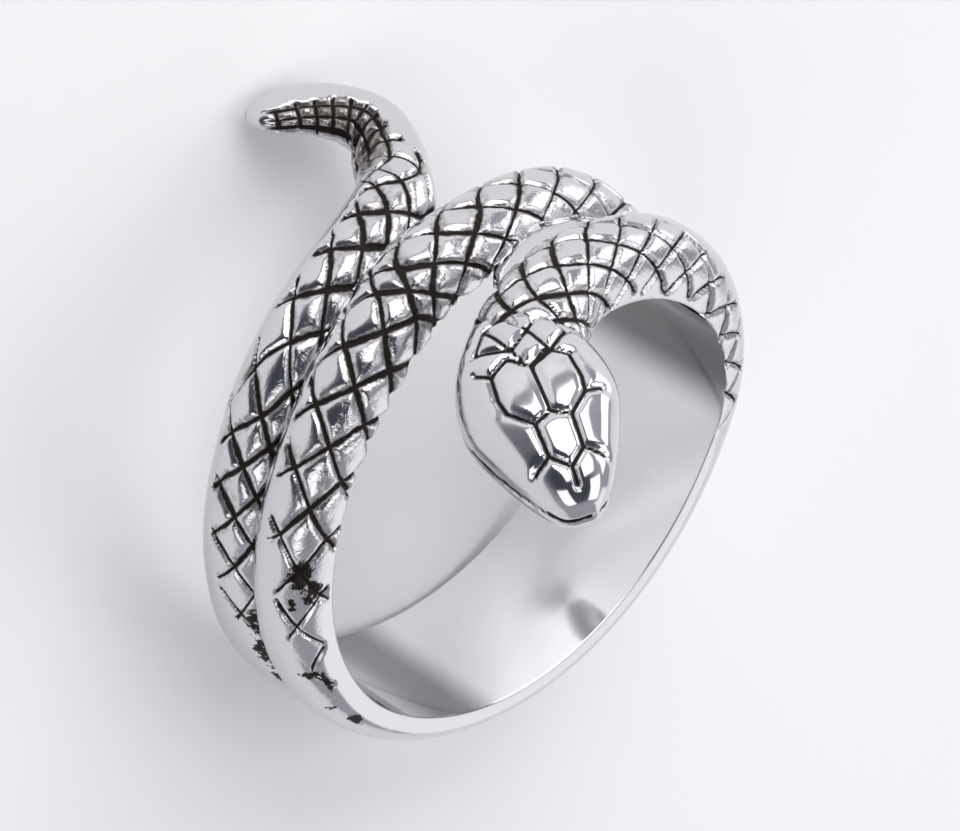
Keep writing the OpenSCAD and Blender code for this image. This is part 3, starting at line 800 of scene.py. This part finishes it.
# Joins the strands and the head into one solid and bores the finger hole.
def castTree():
    parts = ["Tail run", "Middle run", "Neck run", "Web", "Head"]
    kinds = {**{part: "object" for part in parts}, "Bore radius": "number", "Silver": "material"}
    net, _, given = geometryTree("cast", kinds)
    shells = [net.add("GeometryNodeObjectInfo", {}, {"Object": given[part]}, "Geometry") for part in parts]
    whole = net.add("GeometryNodeMeshBoolean", {"operation": "UNION", "solver": "MANIFOLD"},
                    {"Mesh 2": shells}, "Mesh")
    bore = net.add("GeometryNodeMeshCylinder", {"fill_type": "NGON"},
                   {"Vertices": ring["boreSides"] // 1, "Side Segments": 1,
                    "Radius": given["Bore radius"], "Depth": ring["boreLong"]}, "Mesh")
    whole = net.add("GeometryNodeMeshBoolean", {"operation": "DIFFERENCE", "solver": "MANIFOLD"},
                    {"Mesh 1": whole, "Mesh 2": [bore]}, "Mesh")
    whole = net.add("GeometryNodeSetShadeSmooth", {"domain": "FACE"}, {"Geometry": whole})
    place = net.add("GeometryNodeInputPosition")
    radius = (place.part("X") ** 2.0 + place.part("Y") ** 2.0) ** 0.5
    onBore = radius.work("LESS_THAN", radius, given["Bore radius"] + ring["boreSkin"])
    bend = net.add("GeometryNodeInputMeshEdgeAngle")
    sharp = onBore * bend.work("GREATER_THAN", bend, math.radians(ring["sharpBend"]))
    whole = net.add("GeometryNodeSetShadeSmooth", {"domain": "EDGE"},
                    {"Geometry": whole, "Selection": sharp, "Shade Smooth": False})
    whole = net.add("GeometryNodeRealizeInstances", {}, {"Geometry": whole})
    whole = net.add("GeometryNodeSetMaterial", {}, {"Geometry": whole, "Material": given["Silver"]})
    endTree(net, whole)
    return net.tree


def plainMesh(obj, name):
    bpy.context.view_layer.update()
    graph = bpy.context.evaluated_depsgraph_get()
    mesh = bpy.data.meshes.new_from_object(obj.evaluated_get(graph), preserve_all_data_layers=True, depsgraph=graph)
    mesh.name = name
    return mesh


# Polished silver with oxide in the grooves. Widths are in mm.
# A noise is its cells to a mm, its detail and its roughness.
silverLook = {
    "metal": (0.67, 0.665, 0.685),
    "oxide": (0.016, 0.011, 0.009),
    "brown": (0.12, 0.085, 0.06),
    "polish": 0.13,
    "satin": 0.24,
    "oxideRough": 0.4,
    "brownRough": 0.25,
    "oxideMetal": 0.75,         # share of the metal that the oxide hides
    "wallPolish": 0.45,
    "specular": 0.2,
    "fleckNoise": (6.0, 4.0, 0.6),
    "cloudNoise": (1.3, 3.0),
    "raggedNoise": (4.5, 3.0, 0.65),
    "leastWide": 0.2,
    "carvedEase": (0.1, 0.5),
    "grooveWidth": (0.018, 0.075),  # least width, and what the noise adds
    "grooveSoft": (0.7, 0.025),
    "plateWidth": (0.05, 0.09),
    "mouthWidth": (0.2, 0.5),
    "ragNoise": (3.2, 4.0, 0.75),
    "ragDepth": 5.0,
    "blotchEdge": (0.6, 0.9, 1.0, 0.0),
    "creepWidth": 0.22,
    "creepFlecks": (0.1875, 0.375),
    "creepShare": 0.6,
    "tipAlong": (6.5, 9.0, 1.0, 0.0),
    "tipAcross": (0.05, 0.3),
    "tipTone": (0.7, 1.2, 0.35, 0.85),
    "castAcross": (-0.8, 0.1, 1.0, 0.12),
    "grainNoise": (9.0, 3.0, 0.6),
    "grainDepth": 0.00005,      # in metres
    "grainStrength": 0.35,
    # painted shade and painted reflection on the wall of the finger hole by the turn round it in degrees; the
    # wall's own silver is set brighter than the rest, as painted light
    "wall": (0.98, 0.975, 1.0),
    "wallDepth": (0.01, 0.03),
    "wallPaintedShade": [
        (-100, 0.75), (-84, 0.37), (-78, 0.37), (-66, 1.0), (-42, 1.0), (-22, 0.84), (-8, 0.9),
        (8, 1.0), (22, 1.0), (38, 0.24), (52, 0.16), (75, 0.75),
    ],
    # blotches: place along the coil, across it in scale widths, and their reach in mm and in widths
    "blotches": [
        (82.9, -0.85, 0.65, 0.36), (83.5, -1.15, 0.45, 0.25), (84.0, -0.65, 0.25, 0.12),
        (87.9, -1.15, 0.75, 0.1), (87.2, -0.8, 0.2, 0.3), (90.6, -1.1, 0.5, 0.18), (89.3, -0.8, 0.15, 0.2),
        (25.6, -0.9, 0.8, 0.35), (27.3, -0.85, 1.1, 0.35), (29.2, -0.8, 0.9, 0.3),
    ],
}


def silverMaterial():
    material = bpy.data.materials.new("silver")
    material.use_nodes = True
    material.node_tree.nodes.clear()
    net = Net(material.node_tree)
    look = silverLook

    def own(name):
        return net.add("ShaderNodeAttribute", {"attribute_name": name}, {}, "Fac")

    place = net.add("ShaderNodeTexCoord", {}, {}, "Object").times(1 / mm)
    fleck = net.noise(place, *look["fleckNoise"])
    cloud = net.noise(place, *look["cloudNoise"])
    along, v, carved = own("along"), own("v"), own("carved")

    # how far each point is from the bottom of the nearest groove
    gapA, gapB = (own("lat" + n).toLine() / own("wide" + n).most(look["leastWide"]) for n in "AB")
    gap = gapA.least(gapB) * (own("scaleL") * scaleSpread["lineGap"])
    width = look["grooveWidth"][0] + net.noise(place, *look["raggedNoise"]) * look["grooveWidth"][1]
    inner, outer = width * look["grooveSoft"][0], width + look["grooveSoft"][1]
    line = gap.ramp(inner, outer, 1.0, 0.0) * carved.ramp(*look["carvedEase"])
    plateLine = (plateFar - own("plateNear")).ramp(*look["plateWidth"], 1.0, 0.0)
    dark = line.most(plateLine).most(own("mouth").ramp(*look["mouthWidth"]))

    # ragged blotches of oxide
    rags = (net.noise(place, *look["ragNoise"]) - 0.5) * look["ragDepth"]
    onCoil = own("latA").size().ramp(0.0, 0.01)  # the new wall of the bore has no lattice
    for blotchS, blotchV, reach, wide in look["blotches"]:
        far = ((along - blotchS) / reach) ** 2.0 + ((v - blotchV) / wide) ** 2.0
        dark = dark.most((far + rags).ramp(*look["blotchEdge"]) * onCoil)

    # tarnish creeps out of the grooves and thins away; the upper side of the hook of the tail is darkened brown as
    # painted shade
    tarnishAndPaintedShade = gap.ramp(width, width + look["creepWidth"], 1.0, 0.0) * carved
    tarnishAndPaintedShade = tarnishAndPaintedShade * (fleck * cloud).ramp(*look["creepFlecks"])
    # painted shade: the upper side of the tail's hook is made a darker brown
    tip = along.ramp(*look["tipAlong"]) * v.ramp(*look["tipAcross"]) * carved
    tarnishAndPaintedShade = (tarnishAndPaintedShade * look["creepShare"]).most(tip * (fleck + cloud).ramp(*look["tipTone"]))

    # the wall of the finger hole gets a brighter silver as painted light, and bands of painted shade round it that
    # stand in for reflections and shadows
    turned = ringToWorld().to_3x3().normalized()
    x, y = (place.dot(turned.col[n]) for n in (0, 1))
    wallFrom, wallTo = (ring["boreR"] + depth for depth in look["wallDepth"])
    onWall = ((x * x + y * y) ** 0.5).ramp(wallFrom, wallTo, 1.0, 0.0)
    turn = y.work("ARCTAN2", y, x) * (180 / math.pi)
    rows = look["wallPaintedShade"]
    paintedShade = rows[0][1]
    for (turnA, shadeA), (turnB, shadeB) in zip(rows, rows[1:]):
        paintedShade = turn.ramp(turnA, turnB, 0.0, shadeB - shadeA) + paintedShade
    # painted light and painted shade: the wall's brighter silver times the painted shade bands
    paintedWallTone = net.add("ShaderNodeVectorMath", {"operation": "SCALE"}, {0: look["wall"], "Scale": paintedShade})

    shade = net.blend(onWall, look["metal"], paintedWallTone)
    shade = net.blend(tarnishAndPaintedShade, shade, look["brown"])
    shade = net.blend(dark, shade, look["oxide"])
    rough = (look["polish"] + (cloud - 0.5).most(0.0) * look["satin"]) * (1.0 - onWall * look["wallPolish"])
    rough = rough + dark * look["oxideRough"] + tarnishAndPaintedShade * look["brownRough"]
    grain = net.noise(place, *look["grainNoise"]) * (v.ramp(*look["castAcross"]) * carved)
    bump = net.add("ShaderNodeBump", {}, {
        "Strength": look["grainStrength"], "Distance": look["grainDepth"], "Height": grain})
    surface = net.add("ShaderNodeBsdfPrincipled", {}, {
        "Base Color": shade, "Metallic": 1.0 - dark * look["oxideMetal"], "Roughness": rough,
        "Specular IOR Level": look["specular"], "Normal": bump})
    net.add("ShaderNodeOutputMaterial", {}, {"Surface": surface})
    return material


def buildSnake():
    print("skins of the coil, the web and the head")
    skin, scales, plates = skinTree(), scaleTree(), plateTree()
    profile, body = coilProfile(), Strand(coil["rows"])
    runs = {"webRun": webSpine()}
    for name in coil["runs"]:
        runs[name] = runSpine(name, body)
    for run in runs.values():
        useTree(run, skin, {"Profile": profile})
        useTree(run, scales, scaleRelief)
    skull = headSpine()
    useTree(skull, skin, {"Profile": headProfile()})
    useTree(skull, plates, {
        **plateRelief,
        "Grooves": lineObject("plateGrooves", head["corners"], head["grooves"]),
        "Rims": lineObject("plateRims", head["corners"], head["rims"]),
        "Own grooves": lineObject("ownGrooves", head["ownCorners"], head["ownGrooves"])})

    print("one casting")
    caster = pointObject("caster", [], {})
    useTree(caster, castTree(), {
        "Tail run": runs["tailRun"], "Middle run": runs["middleRun"], "Neck run": runs["neckRun"],
        "Web": runs["webRun"], "Head": skull, "Bore radius": ring["boreR"], "Silver": silverMaterial()})
    mesh = plainMesh(caster, "snakeRing")
    mesh.transform(ringToWorld())
    snake = linked("snakeRing", mesh)
    for helper in scaffold:
        bpy.data.objects.remove(helper)
    print("triangles", sum(len(p.vertices) - 2 for p in mesh.polygons))
    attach(snake, "root")
    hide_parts("snake_ring")


# The room and the camera. The camera's place is in mm, and its three directions were solved from the
# round bore and the outlines in the photograph.
studio = {
    "floorShade": (0.98, 0.98, 0.98),
    "floorSize": 3.0,
    "floorDrop": 0.00002,
    "floorRough": 0.8,
    "worldShade": (0.4, 0.39, 0.43),
    "darkShade": (0.06, 0.065, 0.085),
    "darkFrom": (0.35, 0.9),  # the room is dark behind the camera
    "spot": (-124.40, 23.60, 157.08),
    "right": (0.781, 0.191, 0.595),
    "up": (-0.084, 0.976, -0.204),
    "toward": (-0.619, 0.109, 0.778),
    "lens": 217.2,
    "sensor": 36,
    "nearest": 0.01,
    # right, up and toward the camera from the ring in mm, size, brightness
    "lights": [
        (120, 330, 330, 420, 2.5),
        (330, -60, 200, 300, 1.5),
        (-60, -260, 380, 300, 1.5),
        (360, -220, -170, 320, 0.75),
        (420, 260, -60, 300, 1.9),
    ],
}


def buildFloor():
    height = cadBox[0][2] - studio["floorDrop"]
    bpy.ops.mesh.primitive_plane_add(size=studio["floorSize"], location=(0, 0, height))
    floor = bpy.context.object
    floor.name = "floor"
    material = bpy.data.materials.new("floor")
    material.use_nodes = True
    shader = material.node_tree.nodes["Principled BSDF"]
    shader.inputs["Base Color"].default_value = (*studio["floorShade"], 1)
    shader.inputs["Roughness"].default_value = studio["floorRough"]
    floor.data.materials.append(material)


def cameraWays():
    return [Vector(studio[name]) for name in ("right", "up", "toward")]


def buildCamera():
    data = bpy.data.cameras.new("camera")
    data.lens = studio["lens"]
    data.sensor_width = studio["sensor"]
    data.sensor_fit = "HORIZONTAL"
    data.clip_start = studio["nearest"]
    camera = linked("camera", data)
    turn = Matrix(cameraWays()).transposed().to_4x4()
    camera.matrix_world = Matrix.Translation(Vector(studio["spot"]) * mm) @ turn
    bpy.context.scene.camera = camera


def buildLights():
    right, up, toward = cameraWays()
    for n, (x, y, z, size, glow) in enumerate(studio["lights"]):
        data = bpy.data.lights.new("softbox%d" % n, "AREA")
        data.shape = "SQUARE"
        data.size = size * mm
        data.energy = glow * math.pi * (size * mm) ** 2
        light = linked(data.name, data)
        light.location = (x * right + y * up + z * toward) * mm
        light.rotation_euler = light.location.to_track_quat("Z", "Y").to_euler()
    world = bpy.data.worlds.new("studio")
    world.use_nodes = True
    world.node_tree.nodes.clear()
    net = Net(world.node_tree)
    facing = net.add("ShaderNodeTexCoord", {}, {}, "Generated").dot(toward)
    shade = net.blend(facing.ramp(*studio["darkFrom"]), studio["worldShade"], studio["darkShade"])
    back = net.add("ShaderNodeBackground", {}, {"Color": shade, "Strength": 1.0})
    net.add("ShaderNodeOutputWorld", {}, {"Surface": back})
    bpy.context.scene.world = world
    bpy.context.scene.view_settings.view_transform = "Standard"


buildSnake()
print("studio")
buildFloor()
buildLights()
buildCamera()
